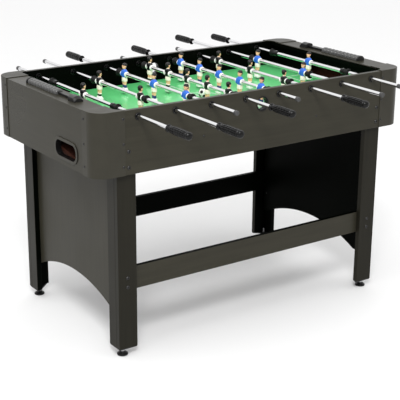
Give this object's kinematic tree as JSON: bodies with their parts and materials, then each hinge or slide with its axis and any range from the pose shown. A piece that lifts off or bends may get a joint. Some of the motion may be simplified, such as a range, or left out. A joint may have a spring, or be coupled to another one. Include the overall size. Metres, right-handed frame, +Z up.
{
  "type": "foosball table",
  "caption": "Table football cabinet on panelled legs with sliding, turning player rods, score racks, side ball entries and end ball returns.",
  "frame": {"origin": "on the floor, midway between the four feet", "axes": "+X along the cabinet, +Y along the rods away from the side with the black team's handles, +Z up"},
  "size_m": [1.2032, 1.304, 0.805],
  "materials": {
    "laminate": "dark warm-grey laminated board, satin",
    "end_laminate": "near-black laminated board, satin",
    "raw_board": "raw reddish-brown fibreboard",
    "pitch": "printed green playing field with white lines, gloss",
    "cover_plastic": "dark grey moulded plastic, fine texture",
    "black_plastic": "black moulded plastic",
    "rod_steel": "polished chromed steel tube",
    "grip": "black ribbed grip",
    "bumper_rubber": "black rubber",
    "team_black": "painted moulded figure, black and white kit",
    "team_blue": "painted moulded figure, blue and white kit",
    "bead": "light grey moulded counter",
    "rack_plastic": "black moulded plastic",
    "ball": "white ball with dark spots",
    "steel": "zinc-plated steel",
    "foot_plastic": "black levelling foot",
    "fastener": "blackened screws and bolts"
  },
  "bodies": {
    "root": {"front_side_wall": "laminate", "back_side_wall": "laminate", "end_panels": "laminate", "end_rails": "laminate", "goal_walls": "end_laminate", "playfield": "pitch", "field_supports": "raw_board", "corner_posts": "raw_board", "corner_covers": "cover_plastic", "return_ramps": "raw_board", "return_trims": "cover_plastic", "ball_entry_cups": "black_plastic", "rod_bearings": "black_plastic", "front_legs": "laminate", "back_legs": "laminate", "foot_plates": "fastener", "arch_panels": "laminate", "stretchers": "laminate", "fasteners": "fastener", "score_racks": "rack_plastic", "score_bead_stacks": "bead"},
    "rod_1_carriage": {"rod_1_bumpers": "bumper_rubber"},
    "rod_1": {"rod_1_shaft": "rod_steel", "rod_1_players": "team_black", "rod_1_handle": "grip"},
    "rod_2_carriage": {"rod_2_bumpers": "bumper_rubber"},
    "rod_2": {"rod_2_shaft": "rod_steel", "rod_2_players": "team_black", "rod_2_handle": "grip"},
    "rod_3_carriage": {"rod_3_bumpers": "bumper_rubber"},
    "rod_3": {"rod_3_shaft": "rod_steel", "rod_3_players": "team_blue", "rod_3_handle": "grip"},
    "rod_4_carriage": {"rod_4_bumpers": "bumper_rubber"},
    "rod_4": {"rod_4_shaft": "rod_steel", "rod_4_players": "team_black", "rod_4_handle": "grip"},
    "rod_5_carriage": {"rod_5_bumpers": "bumper_rubber"},
    "rod_5": {"rod_5_shaft": "rod_steel", "rod_5_players": "team_blue", "rod_5_handle": "grip"},
    "rod_6_carriage": {"rod_6_bumpers": "bumper_rubber"},
    "rod_6": {"rod_6_shaft": "rod_steel", "rod_6_players": "team_black", "rod_6_handle": "grip"},
    "rod_7_carriage": {"rod_7_bumpers": "bumper_rubber"},
    "rod_7": {"rod_7_shaft": "rod_steel", "rod_7_players": "team_blue", "rod_7_handle": "grip"},
    "rod_8_carriage": {"rod_8_bumpers": "bumper_rubber"},
    "rod_8": {"rod_8_shaft": "rod_steel", "rod_8_players": "team_blue", "rod_8_handle": "grip"},
    "foot_front_left": {"foot_front_left": "foot_plastic"},
    "foot_front_right": {"foot_front_right": "foot_plastic"},
    "foot_back_left": {"foot_back_left": "foot_plastic"},
    "foot_back_right": {"foot_back_right": "foot_plastic"},
    "left_bead": {"left_score_bead": "bead"},
    "right_bead": {"right_score_bead": "bead"},
    "ball": {"ball": "ball"}
  },
  "joints": [
    {"name": "rod_1_slide", "type": "slide", "parent": "root", "child": "rod_1_carriage", "axis": [0, 1, 0], "range_m": [-0.0895, 0.0895]},
    {"name": "rod_1_spin", "type": "hinge", "parent": "rod_1_carriage", "child": "rod_1", "pos_m": [-0.455, 0, 0.767], "axis": [0, 1, 0], "continuous": true},
    {"name": "rod_2_slide", "type": "slide", "parent": "root", "child": "rod_2_carriage", "axis": [0, 1, 0], "range_m": [-0.136, 0.136]},
    {"name": "rod_2_spin", "type": "hinge", "parent": "rod_2_carriage", "child": "rod_2", "pos_m": [-0.325, 0, 0.767], "axis": [0, 1, 0], "continuous": true},
    {"name": "rod_3_slide", "type": "slide", "parent": "root", "child": "rod_3_carriage", "axis": [0, 1, 0], "range_m": [-0.078, 0.078]},
    {"name": "rod_3_spin", "type": "hinge", "parent": "rod_3_carriage", "child": "rod_3", "pos_m": [-0.195, 0, 0.767], "axis": [0, 1, 0], "continuous": true},
    {"name": "rod_4_slide", "type": "slide", "parent": "root", "child": "rod_4_carriage", "axis": [0, 1, 0], "range_m": [-0.031, 0.031]},
    {"name": "rod_4_spin", "type": "hinge", "parent": "rod_4_carriage", "child": "rod_4", "pos_m": [-0.065, 0, 0.767], "axis": [0, 1, 0], "continuous": true},
    {"name": "rod_5_slide", "type": "slide", "parent": "root", "child": "rod_5_carriage", "axis": [0, 1, 0], "range_m": [-0.031, 0.031]},
    {"name": "rod_5_spin", "type": "hinge", "parent": "rod_5_carriage", "child": "rod_5", "pos_m": [0.065, 0, 0.767], "axis": [0, 1, 0], "continuous": true},
    {"name": "rod_6_slide", "type": "slide", "parent": "root", "child": "rod_6_carriage", "axis": [0, 1, 0], "range_m": [-0.078, 0.078]},
    {"name": "rod_6_spin", "type": "hinge", "parent": "rod_6_carriage", "child": "rod_6", "pos_m": [0.195, 0, 0.767], "axis": [0, 1, 0], "continuous": true},
    {"name": "rod_7_slide", "type": "slide", "parent": "root", "child": "rod_7_carriage", "axis": [0, 1, 0], "range_m": [-0.136, 0.136]},
    {"name": "rod_7_spin", "type": "hinge", "parent": "rod_7_carriage", "child": "rod_7", "pos_m": [0.325, 0, 0.767], "axis": [0, 1, 0], "continuous": true},
    {"name": "rod_8_slide", "type": "slide", "parent": "root", "child": "rod_8_carriage", "axis": [0, 1, 0], "range_m": [-0.0895, 0.0895]},
    {"name": "rod_8_spin", "type": "hinge", "parent": "rod_8_carriage", "child": "rod_8", "pos_m": [0.455, 0, 0.767], "axis": [0, 1, 0], "continuous": true},
    {"name": "foot_front_left_level", "type": "slide", "parent": "root", "child": "foot_front_left", "axis": [0, 0, -1], "range_m": [0, 0.012]},
    {"name": "foot_front_right_level", "type": "slide", "parent": "root", "child": "foot_front_right", "axis": [0, 0, -1], "range_m": [0, 0.012]},
    {"name": "foot_back_left_level", "type": "slide", "parent": "root", "child": "foot_back_left", "axis": [0, 0, -1], "range_m": [0, 0.012]},
    {"name": "foot_back_right_level", "type": "slide", "parent": "root", "child": "foot_back_right", "axis": [0, 0, -1], "range_m": [0, 0.012]},
    {"name": "left_bead_slide", "type": "slide", "parent": "root", "child": "left_bead", "axis": [0, -1, 0], "range_m": [0, 0.0815]},
    {"name": "right_bead_slide", "type": "slide", "parent": "root", "child": "right_bead", "axis": [0, 1, 0], "range_m": [0, 0.0815]},
    {"name": "ball_roll", "type": "slide", "parent": "root", "child": "ball", "axis": [0, 1, 0], "range_m": [-0.284, 0.29]}
  ]
}
